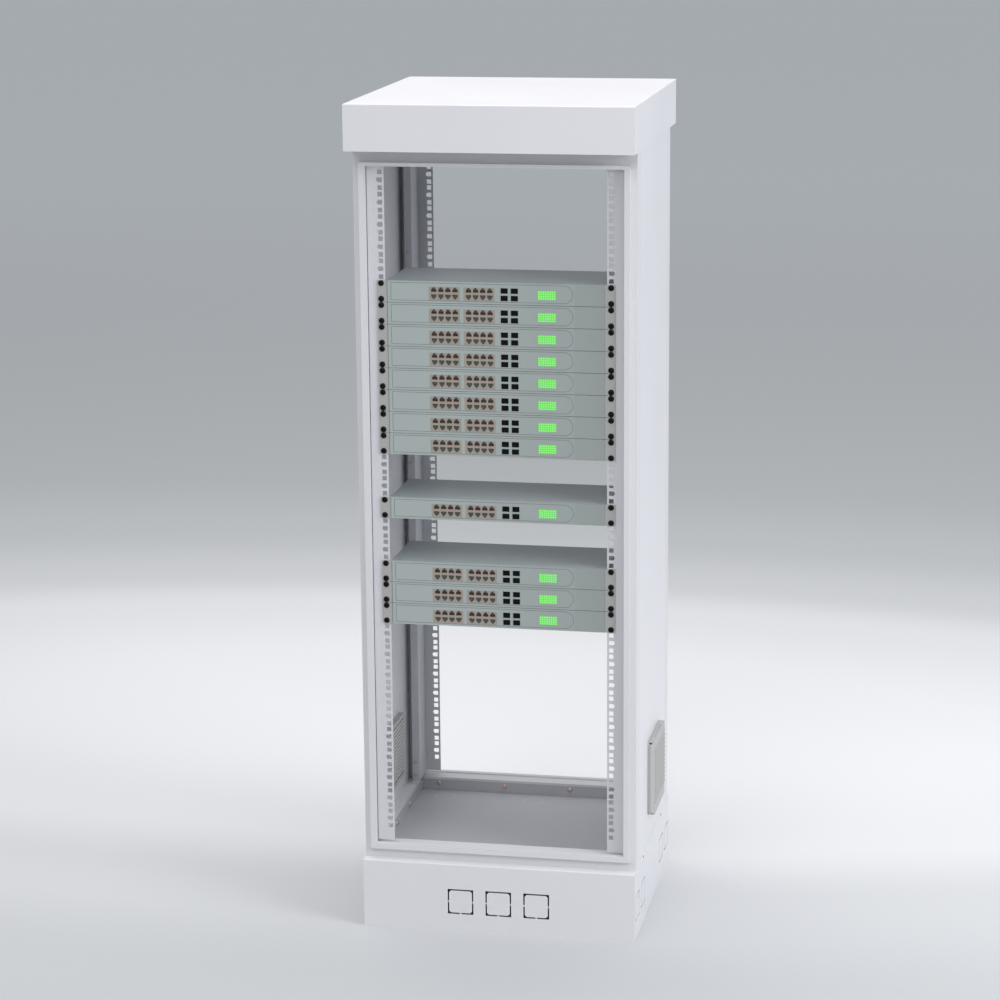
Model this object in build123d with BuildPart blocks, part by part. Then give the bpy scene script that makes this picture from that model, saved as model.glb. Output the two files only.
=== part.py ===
"""Floor-standing rack cabinet with a canopy, a plinth, four mounting rails and twelve one-unit switches.

Millimetres. The origin is at the centre of the footprint on the floor, Z is up, the front faces -Y
and +X is to the right as seen from the front.
"""
from build123d import *

import os

# The rack grid, from the width of the panels that it takes
panel_width = 482.6
panel_overlap = 17.1
panel_hole_inset = 8.75
unit_pitch = 44.45
unit_count = 31
hole_step = 15.875
hole_size = 9.5
hole_tip = 2.6

# The mounting rails
rail_flange = 34.8
rail_web = 70.0
rail_return = 14.0
rail_sheet = 2.0
rail_setback = 6.0
rail_foot_length = 26.0
rail_foot_margin = 25.5
rail_head_gap = 0.5

# The body
sheet = 1.5
side_room = 43.7
body_depth = 476.0
column_side = 50.0
column_step = 15.0
column_return = 36.0
sill_height = 33.0
sill_inset = 34.0
sill_foot = 14.0
side_sill_width = 25.0
header_height = 106.5
header_inset = 33.0
header_upstand = 18.0
beam_height = 33.0
rack_base = 62.0
header_gap = 6.5
beam_gap = 13.0
tray_flange = 25.0
panel_fold = 10.0

# The door-seal lip around the front and rear openings
lip_setback = 13.0
lip_width = 11.5
lip_stand = 10.0
lip_sill_start = 21.0
lip_sill_back = 2.0
lip_header_height = 7.5
deck_drop = 3.0
lip_return = 12.0

# The plinth
plinth_side_stand = 1.0
plinth_end_stand = 21.0
plinth_height = 147.0
plinth_sheet = 2.0
plinth_top_flange = 70.0
plinth_foot_flange = 40.0
plinth_edge_radius = 3.0

# The square cable knockouts
knockout_size = 54.3
knockout_slot = 3.0
knockout_corner = 7.0
knockout_bridge = 3.0
knockout_height = 65.0
knockout_pitch = 80.0
knockout_end_distance = 41.0

# The canopy
canopy_side_overhang = 3.5
canopy_end_overhang = 63.0
canopy_skirt = 93.0
canopy_sheet = 2.0
canopy_lift = 17.5
canopy_edge_radius = 2.5
bearer_end = 35.0
bearer_top = 30.0
bearer_foot = 15.0
bearer_inset = 50.0

# The vents
vent_width = 165.0
vent_height = 162.0
vent_stand = 16.5
vent_foot = 64.0
vent_back_shift = 10.0
vent_corner_cut = 8.0
vent_flange = 3.0
vent_neck_width = 148.0
vent_neck_height = 140.0
vent_neck_depth = 12.5
vent_neck_wall = 2.5
vent_fit = 0.5
guard_sheet = 2.0
guard_rib = 4.0
guard_margin = 6.0
mat_thickness = 10.0
mat_clearance = 0.3
cover_wall = 2.5
cover_bottom_wall = 2.0
cover_face = 1.4
cover_clearance = 0.5
cover_bevel = 7.0
cover_margin = 7.5
slat_count = 13
slat_pitch = 9.4
slat_depth = 9.0
slat_thickness = 1.6
slat_stand = 1.8
slat_top_margin = 16.0
grip_groove_length = 92.0
grip_groove_width = 4.5
grip_groove_depth = 1.3
hinge_height = 5.8
hinge_stand = 6.3
heel_chamfer = 3.6
peg_radius = 1.5
peg_clearance = 0.05
hook_reach = 2.7
hook_thickness = 3.0
hook_gap = 0.4
hook_inset = 5.5

# The switches
switch_units = [6, 7, 8, 9, 10, 11, 12, 13, 16, 19, 20, 21]
switch_ear = 20.8
switch_height = 43.6
switch_depth = 170.0
fascia_depth = 3.0
fascia_bevel = 1.5
ear_sheet = 2.0
ear_leg = 40.0
port_field_width = 63.0
port_field_height = 27.2
port_field_base = 5.4
port_field_start = -135.2
port_field_end = -1.6
front_clearance = 0.2
port_pocket_depth = 12.0

# Places worked out from the sizes above
hole_span = panel_width - 2 * panel_hole_inset
switch_width = panel_width - 2 * switch_ear
body_width = panel_width + 2 * side_room
half_width = body_width / 2
half_depth = body_depth / 2
plinth_width = body_width + 2 * plinth_side_stand
plinth_depth = body_depth + 2 * plinth_end_stand
canopy_width = body_width + 2 * canopy_side_overhang
canopy_depth = body_depth + 2 * canopy_end_overhang
bearer_length = body_width - 2 * bearer_end
rack_bottom = plinth_height + rack_base
rack_top = rack_bottom + unit_count * unit_pitch
column_top = rack_top + header_gap
body_top = column_top + header_height
beam_bottom = rack_top + beam_gap
sill_top = plinth_height + sill_height
deck_top = sill_top - deck_drop
lip_outer = half_width - lip_setback
lip_inner = lip_outer - lip_width
lip_front = half_depth + lip_stand
panel_half = half_depth - column_side
side_sill_inner = half_width - side_sill_width
sill_inner = half_depth - sill_inset
header_inner = half_depth - header_inset
roof_top = body_top + sheet
canopy_under = roof_top + canopy_lift
canopy_top = canopy_under + canopy_sheet
rail_face = half_depth - rail_setback
rail_inner = panel_width / 2 - panel_overlap
rail_outer = rail_inner + rail_flange
vent_bottom = plinth_height + vent_foot
vent_middle = vent_bottom + vent_height / 2
cover_back = half_width + vent_flange + cover_clearance
cover_front = half_width + vent_stand
hinge_x = half_width + vent_flange + hinge_stand
hinge_z = vent_bottom + hinge_height
neck_inner_width = vent_neck_width - 2 * vent_neck_wall
neck_inner_height = vent_neck_height - 2 * vent_neck_wall


def folded(points, plane, thickness=sheet, side=Side.RIGHT):
    """The section of a sheet folded along a line of points, with the sheet inside that line."""
    with BuildSketch(plane) as section:
        with BuildLine():
            Polyline(*points)
            offset(amount=thickness, side=side, kind=Kind.INTERSECTION)
        make_face()
    return section.sketch


def block(low, high, mode=Mode.ADD):
    """A box between two corners, in the part that is being built."""
    size = [b - a for a, b in zip(low, high)]
    middle = [(a + b) / 2 for a, b in zip(low, high)]
    with Locations(tuple(middle)):
        Box(*size, mode=mode)


def save(part, label):
    """Name a finished piece and write it."""
    part.label = label
    export_step(part, f"parts/{label}.step")


def knockout_outline(centres, plane):
    """Slots round square knockouts that stay held by three narrow bridges each."""
    reach = (knockout_size - knockout_slot) / 2
    bridge = knockout_bridge / 2
    with BuildSketch() as slots:
        with BuildLine():
            Polyline((-reach, bridge), (-reach, reach), (reach, reach), (reach, bridge))
        trace(line_width=knockout_slot)
        for side in (-1, 1):
            with BuildLine():
                Polyline((side * reach, -bridge), (side * reach, -reach), (side * bridge, -reach))
            trace(line_width=knockout_slot)
        near = reach - knockout_corner
        for x, z in ((1, 1), (-1, 1), (-1, -1), (1, -1)):
            with BuildLine():
                Polyline((x * reach, z * reach), (x * near, z * reach), (x * reach, z * near), close=True)
            make_face()
    with BuildSketch(plane) as outlines:
        with Locations(*centres):
            add(slots.sketch)
    return outlines.sketch


def plinth():
    """The welded sheet base: four walls, a top flange, a foot flange and knockouts on three sides."""
    with BuildPart() as base:
        block((-plinth_width / 2, -plinth_depth / 2, 0), (plinth_width / 2, plinth_depth / 2, plinth_height))
        edges = base.edges().group_by(Axis.Z)[-1].filter_by(Axis.X)
        fillet(edges, plinth_edge_radius)
        inner_x = plinth_width / 2 - plinth_sheet
        inner_y = plinth_depth / 2 - plinth_sheet
        block((-inner_x, -inner_y, plinth_sheet), (inner_x, inner_y, plinth_height - plinth_sheet), Mode.SUBTRACT)
        top_x = plinth_width / 2 - plinth_top_flange
        top_y = plinth_depth / 2 - plinth_top_flange
        block((-top_x, -top_y, plinth_height / 2), (top_x, top_y, plinth_height), Mode.SUBTRACT)
        foot_x = plinth_width / 2 - plinth_foot_flange
        foot_y = plinth_depth / 2 - plinth_foot_flange
        block((-foot_x, -foot_y, 0), (foot_x, foot_y, plinth_height / 2), Mode.SUBTRACT)
        face_centres = [(step * knockout_pitch, knockout_height) for step in (-1, 0, 1)]
        cut = knockout_outline(face_centres, Plane.XZ.offset(plinth_depth / 2))
        extrude(cut, amount=plinth_sheet, both=True, mode=Mode.SUBTRACT)
        ends = [plinth_depth / 2 - knockout_end_distance - step * knockout_pitch for step in (0, 1)]
        side_centres = [(side * end, knockout_height) for side in (-1, 1) for end in ends]
        for wall in (-plinth_width / 2, plinth_width / 2):
            cut = knockout_outline(side_centres, Plane.YZ.offset(wall))
            extrude(cut, amount=plinth_sheet, both=True, mode=Mode.SUBTRACT)
    return base.part


def column():
    """The front left corner column: a folded C section with the lip's channel on its face."""
    section = [
        (-lip_inner, -half_depth + lip_return),
        (-lip_inner, -half_depth),
        (-half_width, -half_depth),
        (-half_width, -panel_half),
        (-half_width + column_step, -panel_half),
        (-half_width + column_step, -panel_half - column_return),
    ]
    lip = [
        (-lip_inner, -half_depth),
        (-lip_inner, -lip_front),
        (-lip_outer, -lip_front),
        (-lip_outer, -half_depth),
    ]
    lip_bottom = plinth_height + lip_sill_start
    with BuildPart() as post:
        extrude(folded(section, Plane.XY.offset(plinth_height)), amount=column_top - plinth_height)
        extrude(folded(lip, Plane.XY.offset(lip_bottom)), amount=column_top - lip_bottom)
    return post.part


def sill():
    """The front bottom member, a folded box between the columns, with the lip along its face."""
    section = [
        (-half_depth + sill_foot, plinth_height),
        (-half_depth, plinth_height),
        (-half_depth, plinth_height + lip_sill_start),
        (-lip_front, plinth_height + lip_sill_start),
        (-lip_front, sill_top),
        (-half_depth + lip_sill_back, sill_top),
        (-half_depth + lip_sill_back, deck_top),
        (-sill_inner, deck_top),
        (-sill_inner, plinth_height),
        (-sill_inner - sill_foot, plinth_height),
    ]
    with BuildPart() as member:
        extrude(folded(section, Plane.YZ.offset(-lip_inner), side=Side.LEFT), amount=2 * lip_inner)
    return member.part


def header():
    """The front top member, full width, with closed ends and the lip along its lower edge."""
    section = [
        (-panel_half, body_top),
        (-half_depth, body_top),
        (-half_depth, column_top),
        (-header_inner, column_top),
        (-header_inner, column_top + header_upstand),
    ]
    lip = [
        (-half_depth, column_top + lip_header_height),
        (-lip_front, column_top + lip_header_height),
        (-lip_front, column_top),
        (-half_depth, column_top),
    ]
    with BuildPart() as member:
        extrude(folded(section, Plane.YZ.offset(-half_width), side=Side.LEFT), amount=body_width)
        extrude(folded(lip, Plane.YZ.offset(-lip_outer), side=Side.LEFT), amount=2 * lip_outer)
        for x in (-half_width, half_width - sheet):
            block((x, -half_depth, column_top), (x + sheet, -panel_half, body_top))
    return member.part


def side_member(bottom, half_length):
    """A left side member, folded as a C that is closed by the side panel."""
    section = [
        (-half_width + sheet, bottom),
        (-side_sill_inner, bottom),
        (-side_sill_inner, bottom + sill_height),
        (-half_width + sheet, bottom + sill_height),
    ]
    with BuildPart() as member:
        extrude(folded(section, Plane.XZ.offset(-half_length), side=Side.LEFT), amount=2 * half_length)
    return member.part


def side_panel():
    """The left side sheet, with folded edges and the cut-out that takes the vent's neck."""
    with BuildPart() as panel:
        block((-half_width, -panel_half, plinth_height), (-half_width + sheet, panel_half, body_top))
        with BuildSketch(Plane.YZ.offset(-half_width)):
            with Locations((vent_back_shift, vent_middle)):
                Rectangle(vent_neck_width + vent_fit, vent_neck_height + vent_fit)
        extrude(amount=sheet, mode=Mode.SUBTRACT)
        for edge in (-panel_half, panel_half - sheet):
            low = (-half_width, edge, sill_top + sheet)
            block(low, (-half_width + panel_fold, edge + sheet, column_top))
    return panel.part


def floor_tray():
    """The bottom sheet, with upturned flanges against the members."""
    with BuildPart() as tray:
        block((-side_sill_inner, -sill_inner, plinth_height), (side_sill_inner, sill_inner, plinth_height + sheet))
        with BuildSketch(Plane.XY.offset(plinth_height)):
            Rectangle(2 * side_sill_inner, 2 * sill_inner)
            Rectangle(2 * (side_sill_inner - sheet), 2 * (sill_inner - sheet), mode=Mode.SUBTRACT)
        extrude(amount=tray_flange)
    return tray.part


def roof_panel():
    """The sheet that closes the body under the canopy."""
    with BuildPart() as roof:
        block((-half_width, -half_depth, body_top), (half_width, half_depth, roof_top))
    return roof.part


def canopy_bearer():
    """The front hat section that holds the canopy off the roof."""
    middle = -half_depth + bearer_inset
    crown = canopy_under - sheet
    section = [
        (middle - bearer_top / 2 - bearer_foot, roof_top),
        (middle - bearer_top / 2, roof_top),
        (middle - bearer_top / 2, crown),
        (middle + bearer_top / 2, crown),
        (middle + bearer_top / 2, roof_top),
        (middle + bearer_top / 2 + bearer_foot, roof_top),
    ]
    with BuildPart() as bearer:
        extrude(folded(section, Plane.YZ.offset(-bearer_length / 2), side=Side.LEFT), amount=bearer_length)
    return bearer.part


def canopy():
    """The overhanging hood, a folded sheet with a deep skirt."""
    x, y = canopy_width / 2, canopy_depth / 2
    bottom = canopy_top - canopy_skirt
    with BuildPart() as hood:
        block((-x, -y, bottom), (x, y, canopy_top))
        fillet(hood.edges().group_by(Axis.Z)[-1], canopy_edge_radius)
        low = (-x + canopy_sheet, -y + canopy_sheet, bottom)
        block(low, (x - canopy_sheet, y - canopy_sheet, canopy_under), Mode.SUBTRACT)
    return hood.part


def rail_hole(pointed):
    """A square hole, or one with a point towards the side wall for the middle hole of a unit."""
    half = hole_size / 2
    tip = [(-half - hole_tip, 0)] if pointed else []
    with BuildSketch() as hole:
        with BuildLine():
            Polyline((half, -half), (half, half), (-half, half), *tip, (-half, -half), close=True)
        make_face()
    return hole.sketch


def rail():
    """The front left mounting rail: a perforated flange, a web and a return with feet at both ends."""
    back = -rail_face + rail_web
    outer_return = -rail_outer - rail_return
    section = [(-rail_inner, -rail_face), (-rail_outer, -rail_face), (-rail_outer, back), (outer_return, back)]
    web = [(-rail_outer, -rail_face + rail_sheet), (-rail_outer, back), (outer_return, back)]
    flange_bottom = rack_bottom - rail_foot_margin
    flange_top = column_top - rail_head_gap
    units = [rack_bottom + (index + 0.5) * unit_pitch for index in range(unit_count)]
    middle_holes = [(-hole_span / 2, unit) for unit in units]
    end_holes = [(x, unit + side * hole_step) for x, unit in middle_holes for side in (-1, 1)]
    square, pointed = rail_hole(False), rail_hole(True)
    with BuildPart() as post:
        extrude(folded(section, Plane.XY.offset(flange_bottom), rail_sheet), amount=flange_top - flange_bottom)
        extrude(folded(web, Plane.XY.offset(sill_top), rail_sheet), amount=beam_bottom - sill_top)
        for foot in (sill_top, beam_bottom - rail_sheet):
            low = (outer_return, back, foot)
            block(low, (-rail_outer + rail_sheet, back + rail_foot_length, foot + rail_sheet))
        low = (outer_return, -rail_face, flange_top)
        block(low, (-rail_inner, -header_inner + rail_head_gap, beam_bottom), Mode.SUBTRACT)
        with BuildSketch(Plane.XZ.offset(rail_face)) as holes:
            with Locations(*end_holes):
                add(square)
            with Locations(*middle_holes):
                add(pointed)
        extrude(amount=rail_sheet, both=True, mode=Mode.SUBTRACT)
    return post.part


def vent_frame():
    """The right vent's moulded frame: a flange, a neck through the panel, a guard and two hinge hooks."""
    centre = (vent_back_shift, vent_middle)
    window = (neck_inner_width - guard_rib) / 2 - guard_margin
    guard = half_width - vent_neck_depth
    hook_start = vent_width / 2 - cover_wall - hook_inset - hook_gap - hook_thickness
    peg_hole = peg_radius + peg_clearance
    with BuildPart() as frame:
        with BuildSketch(Plane.YZ.offset(half_width)):
            with Locations(centre):
                Rectangle(vent_width, vent_height)
            chamfer(vertices(), vent_corner_cut)
            with Locations(centre):
                Rectangle(neck_inner_width, neck_inner_height, mode=Mode.SUBTRACT)
        extrude(amount=vent_flange)
        with BuildSketch(Plane.YZ.offset(guard)):
            with Locations(centre):
                Rectangle(vent_neck_width, vent_neck_height)
                Rectangle(neck_inner_width, neck_inner_height, mode=Mode.SUBTRACT)
        extrude(amount=vent_neck_depth)
        with BuildSketch(Plane.YZ.offset(guard)):
            with Locations(centre):
                Rectangle(vent_neck_width, vent_neck_height)
                with GridLocations(window + guard_rib, 0, 2, 1):
                    Rectangle(window, neck_inner_height - 2 * guard_margin, mode=Mode.SUBTRACT)
        extrude(amount=guard_sheet)
        for start in (vent_back_shift - hook_start, vent_back_shift + hook_start + hook_thickness):
            with BuildSketch(Plane.XZ.offset(-start)):
                with Locations((half_width + vent_flange, hinge_z)):
                    Rectangle(hinge_stand + hook_reach, 2 * hook_reach, align=(Align.MIN, Align.CENTER))
                with Locations((hinge_x, hinge_z)):
                    Circle(peg_hole, mode=Mode.SUBTRACT)
                    Rectangle(2 * peg_hole, hook_reach, align=(Align.CENTER, Align.MIN), mode=Mode.SUBTRACT)
            extrude(amount=hook_thickness)
    return frame.part


def filter_mat():
    """The right vent's filter mat, which lies in the neck against the guard."""
    start = half_width - vent_neck_depth + guard_sheet + mat_clearance
    y = neck_inner_width / 2 - mat_clearance
    z = neck_inner_height / 2 - mat_clearance
    low = (start, vent_back_shift - y, vent_middle - z)
    with BuildPart() as mat:
        block(low, (start + mat_thickness, vent_back_shift + y, vent_middle + z))
    return mat.part


def vent_cover():
    """The right vent's louvred cover, which hinges open at its lower edge."""
    face = cover_front - slat_stand
    top = vent_bottom + vent_height
    inside = vent_width / 2 - cover_wall
    half_window = vent_width / 2 - cover_margin
    window_top = top - slat_top_margin
    slat_rise = slat_thickness * 2 ** 0.5
    notch = hook_thickness + 2 * hook_gap
    with BuildPart() as cavity:
        low = (cover_back, vent_back_shift - inside, vent_bottom + cover_bottom_wall)
        block(low, (face - cover_face, vent_back_shift + inside, top - cover_wall))
        edges = cavity.edges().filter_by(Axis.Z).group_by(Axis.X)[-1]
        chamfer(edges, cover_bevel - (2 - 2 ** 0.5) * cover_wall)
    with BuildPart() as cover:
        low = (cover_back, vent_back_shift - vent_width / 2, vent_bottom)
        block(low, (face, vent_back_shift + vent_width / 2, top))
        chamfer(cover.edges().filter_by(Axis.Z).group_by(Axis.X)[-1], cover_bevel)
        with BuildSketch(Plane.YZ.offset(cover_back)):
            with Locations((vent_back_shift, vent_middle)):
                Rectangle(vent_width, vent_height)
            chamfer(vertices(), vent_corner_cut)
        extrude(amount=vent_stand, mode=Mode.INTERSECT)
        add(cavity.part, mode=Mode.SUBTRACT)
        low = (cover_back, vent_back_shift - half_window, window_top - slat_count * slat_pitch)
        block(low, (face, vent_back_shift + half_window, window_top), Mode.SUBTRACT)
        with BuildSketch(Plane.XZ.offset(-vent_back_shift - half_window)):
            for index in range(slat_count):
                edge = window_top - (index + 0.5) * slat_pitch - slat_rise / 2
                with BuildLine():
                    Polyline(
                        (cover_front, edge),
                        (cover_front, edge + slat_rise),
                        (cover_front - slat_depth, edge + slat_depth + slat_rise),
                        (cover_front - slat_depth, edge + slat_depth),
                        close=True,
                    )
                make_face()
        extrude(amount=2 * half_window)
        with BuildSketch(Plane.XZ.offset(-vent_back_shift - vent_width / 2)):
            with BuildLine():
                Polyline(
                    (cover_back, vent_bottom),
                    (cover_back + heel_chamfer, vent_bottom),
                    (cover_back, vent_bottom + heel_chamfer),
                    close=True,
                )
            make_face()
        extrude(amount=vent_width, mode=Mode.SUBTRACT)
        for side in (-1, 1):
            wall = vent_back_shift + side * inside
            edges = sorted((wall - side * hook_inset, wall - side * (hook_inset + notch)))
            low = (cover_back, edges[0], vent_bottom)
            block(low, (face - cover_face, edges[1], hinge_z), Mode.SUBTRACT)
            with BuildSketch(Plane.XZ.offset(-wall)):
                with Locations((hinge_x, hinge_z)):
                    Circle(peg_radius)
            extrude(amount=side * (hook_inset + notch))
        with BuildSketch(Plane.XY.offset(top)):
            with Locations(((cover_back + face) / 2, vent_back_shift)):
                Rectangle(grip_groove_width, grip_groove_length)
        extrude(amount=-grip_groove_depth, mode=Mode.SUBTRACT)
    return cover.part


def switch_case(base):
    """One switch's case with its two ears and the pocket that takes the port blocks."""
    half_case = switch_width / 2
    ear_edge = panel_width / 2
    ear_front = -rail_face - ear_sheet
    with BuildPart() as case:
        block((-half_case, -rail_face, base), (half_case, -rail_face + switch_depth, base + switch_height))
        with BuildSketch(Plane.XY.offset(base)):
            for side in (-1, 1):
                with BuildLine():
                    Polyline(
                        (side * ear_edge, ear_front),
                        (side * half_case, ear_front),
                        (side * half_case, -rail_face + ear_leg),
                        (side * (half_case + ear_sheet), -rail_face + ear_leg),
                        (side * (half_case + ear_sheet), -rail_face),
                        (side * ear_edge, -rail_face),
                        close=True,
                    )
                make_face()
        extrude(amount=switch_height)
        low = (port_field_start, -rail_face, base + port_field_base)
        high = (port_field_end, -rail_face + port_pocket_depth, base + port_field_base + port_field_height)
        block(low, high, Mode.SUBTRACT)
    return case.part


def switch_fascia(base):
    """One switch's moulded front, with a window for each block of ports."""
    half_front = switch_width / 2 - front_clearance
    front = -rail_face - fascia_depth
    bottom = base + port_field_base
    with BuildPart() as fascia:
        block((-half_front, front, base), (half_front, -rail_face, base + switch_height))
        chamfer(fascia.edges().filter_by(Axis.Z).group_by(Axis.Y)[0], fascia_bevel)
        for start in (port_field_start, port_field_end - port_field_width):
            low = (start, front, bottom)
            block(low, (start + port_field_width, -rail_face, bottom + port_field_height), Mode.SUBTRACT)
    return fascia.part


os.makedirs("parts", exist_ok=True)

save(plinth(), "plinth")
save(floor_tray(), "floor_tray")
save(roof_panel(), "roof_panel")
save(canopy(), "canopy")

for maker, label in ((sill, "sill"), (header, "header"), (canopy_bearer, "canopy_bearer")):
    front = maker()
    save(front, f"{label}_front")
    save(mirror(front, about=Plane.XZ), f"{label}_rear")

for maker, label in ((column, "column"), (rail, "rail")):
    front_left = maker()
    front_right = mirror(front_left, about=Plane.YZ)
    save(front_left, f"{label}_front_left")
    save(front_right, f"{label}_front_right")
    save(mirror(front_left, about=Plane.XZ), f"{label}_rear_left")
    save(mirror(front_right, about=Plane.XZ), f"{label}_rear_right")

left_pieces = {
    "side_sill": side_member(plinth_height, panel_half),
    "top_beam": side_member(beam_bottom, header_inner),
    "side_panel": side_panel(),
}
for label, left in left_pieces.items():
    save(left, f"{label}_left")
    save(mirror(left, about=Plane.YZ), f"{label}_right")

for maker in (vent_frame, filter_mat, vent_cover):
    right = maker()
    save(right, f"{maker.__name__}_right")
    save(mirror(right, about=Plane.YZ), f"{maker.__name__}_left")

for number, unit in enumerate(switch_units, start=1):
    base = rack_top - unit * unit_pitch + (unit_pitch - switch_height) / 2
    save(switch_case(base), f"switch_{number:02d}_case")
    save(switch_fascia(base), f"switch_{number:02d}_fascia")
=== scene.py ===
"""Finishes the floor-standing rack cabinet: its paint, vents, switch fronts, screws and studio stage."""
import math

import bmesh
import bpy
from bpy.props import FloatProperty, FloatVectorProperty, IntProperty, PointerProperty
from mathutils import Matrix, Vector


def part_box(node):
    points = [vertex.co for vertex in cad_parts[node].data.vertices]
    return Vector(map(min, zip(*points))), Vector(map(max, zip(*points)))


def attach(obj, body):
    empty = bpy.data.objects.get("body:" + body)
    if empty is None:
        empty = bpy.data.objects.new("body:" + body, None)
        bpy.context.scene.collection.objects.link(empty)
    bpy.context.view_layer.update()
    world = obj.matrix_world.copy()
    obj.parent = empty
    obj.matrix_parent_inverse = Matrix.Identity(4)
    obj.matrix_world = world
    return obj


bl_info = {
    "name": "Rack cabinet finish",
    "version": (1, 0, 0),
    "blender": (4, 5, 0),
    "location": "View3D > Sidebar > Cabinet",
    "description": "Paints a rack cabinet and adds its ports, displays, screws and studio stage",
    "category": "Object",
}

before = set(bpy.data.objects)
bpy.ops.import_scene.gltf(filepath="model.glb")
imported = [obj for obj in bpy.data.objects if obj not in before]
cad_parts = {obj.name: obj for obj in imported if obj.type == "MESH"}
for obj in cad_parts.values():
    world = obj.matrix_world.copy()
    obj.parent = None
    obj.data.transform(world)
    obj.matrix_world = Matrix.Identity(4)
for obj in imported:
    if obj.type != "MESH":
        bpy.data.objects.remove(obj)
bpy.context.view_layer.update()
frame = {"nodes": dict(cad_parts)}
# A switch's number has two digits
switches = [number for number in range(1, 100) if f"switch_{number:02d}_case" in frame["nodes"]]
rail_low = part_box("rail_front_left")[0]
tray_low, tray_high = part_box("floor_tray")
CABINET = "cabinet"
TO_FRONT, TO_BACK, UPWARDS = (0, -1, 0), (0, 1, 0), (0, 0, 1)


# Sizes and colours that a user would change


def colour(name, description, default):
    return FloatVectorProperty(
        name=name, description=description, subtype="COLOR", size=3, min=0.0, max=1.0, default=default
    )


def length(name, description, default):
    return FloatProperty(
        name=name, description=description, default=default, min=0.0, unit="LENGTH", precision=5
    )


def power(name, description, default):
    return FloatProperty(name=name, description=description, default=default, min=0.0, unit="POWER")


class CabinetPaint(bpy.types.PropertyGroup):
    shell: colour("Shell", "Powder coat of the panels, canopy and plinth", (0.775, 0.773, 0.812))
    # The frame's coat is a little darker than the shell's, as painted shade on the columns, sills and headers
    frame: colour("Frame", "Powder coat of the columns, sills and headers", (0.744, 0.740, 0.774))
    rail: colour("Rails", "Powder coat of the mounting rails", (0.67, 0.67, 0.705))
    inner: colour("Inner sheets", "Powder coat of the floor and roof sheets", (0.50, 0.51, 0.54))
    # The plinth's inside gets painted shade, dark where little light reaches
    plinth_shade: colour("Plinth inside", "Dark shading inside the plinth", (0.13, 0.13, 0.14))
    vent: colour("Vents", "Moulded plastic of the vents", (0.485, 0.485, 0.48))
    guard: colour("Guard bars", "Bars that hold the filter mats", (0.70, 0.70, 0.71))
    fleece: colour("Filter mat", "Fleece of the filter mats", (0.22, 0.22, 0.22))
    grain: length("Grain", "Size of the texture in the powder coat", 0.0011)


class SwitchLooks(bpy.types.PropertyGroup):
    case: colour("Case", "Painted case of a switch", (0.375, 0.42, 0.43))
    front: colour("Front", "Moulded front of a switch", (0.414, 0.462, 0.452))
    ear: colour("Ears", "Painted ears of a switch", (0.43, 0.43, 0.42))
    # The lines are painted shade, standing in for the debossed outline's groove
    line: colour("Lines", "Fine outline on a switch's front", (0.16, 0.185, 0.18))
    shell: colour("Port shells", "Plated shells of the ports", (0.36, 0.325, 0.28))
    lining: colour("Port linings", "Inside of the lower ports", (0.13, 0.142, 0.138))
    contact: colour("Contacts", "Plated contacts in the ports", (0.75, 0.52, 0.20))
    display: colour("Display", "Lit lamps of a display", (0.17, 1.0, 0.09))
    gap: colour("Display gaps", "Dimmer seams between the lamps", (0.12, 0.52, 0.17))
    lining_red: colour("Upper port linings", "Inside of the upper ports", (0.085, 0.022, 0.022))
    socket: colour("Sockets", "Black plastic of the module sockets", (0.003, 0.003, 0.003))
    port_pitch: length("Port pitch", "Distance between the centres of two ports in a row", 0.01445)
    row_pitch: length("Row pitch", "Distance between the upper and the lower ports", 0.01285)
    port_depth: length("Port depth", "Depth of the lining behind a port's mouth", 0.0045)
    lamp_columns: IntProperty(name="Lamp columns", description="Lamps across a display", default=8, min=1)
    lamp_rows: IntProperty(name="Lamp rows", description="Lamps up a display", default=4, min=1)


class CabinetScrews(bpy.types.PropertyGroup):
    rack_radius: length("Rack screw radius", "Radius of a rack screw's head", 0.0061)
    rack_height: length("Rack screw height", "Height of a rack screw's head", 0.0031)
    frame_radius: length("Frame screw radius", "Radius of a frame screw's head", 0.0060)
    frame_height: length("Frame screw height", "Height of a frame screw's head", 0.0034)
    black: colour("Black screws", "Blackened steel of the rack screws", (0.020, 0.020, 0.019))
    plated: colour("Plated screws", "Yellow plating of the frame screws", (0.72, 0.60, 0.54))


class CabinetStage(bpy.types.PropertyGroup):
    # The floor's bright pool and its fade are painted light, not an even floor
    bright: colour("Bright floor", "Floor behind the cabinet, at its brightest", (0.83, 0.835, 0.855))
    middle: colour("Middle floor", "Floor a little way off", (0.49, 0.505, 0.522))
    far: colour("Far floor", "Floor in the distance", (0.56, 0.593, 0.625))
    sky: FloatProperty(name="Sky", description="Strength of the even light", default=0.52, min=0.0)
    overhead: power("Overhead", "Power of the lamp above", 80.0)
    side: power("Side", "Power of the lamp at the right", 116.0)
    front: power("Front", "Power of the lamp high in front", 82.0)
    focal: FloatProperty(name="Focal length", description="Of the lens", default=106.2, unit="CAMERA")


# Shader node groups and materials


def put(nodes, kind, **settings):
    """A node of that kind, with its settings."""
    node = nodes.new(kind)
    for key, value in settings.items():
        setattr(node, key, value)
    return node


def feed(tree, socket, value):
    """Give a socket a number, or link another socket to it."""
    if isinstance(value, (int, float)):
        socket.default_value = value
    else:
        tree.links.new(value, socket)


def math_node(tree, operation, first, second, clamp=False):
    """A math node on two values, each a number or a socket."""
    node = put(tree.nodes, "ShaderNodeMath", operation=operation, use_clamp=clamp)
    feed(tree, node.inputs[0], first)
    feed(tree, node.inputs[1], second)
    return node.outputs[0]


def surface_place(tree):
    """The place on a piece, in the piece's own coordinates."""
    return put(tree.nodes, "ShaderNodeTexCoord").outputs["Object"]


def scaled(rgb, share):
    """A colour made darker or paler."""
    return [min(1.0, part * share) for part in rgb]


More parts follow.
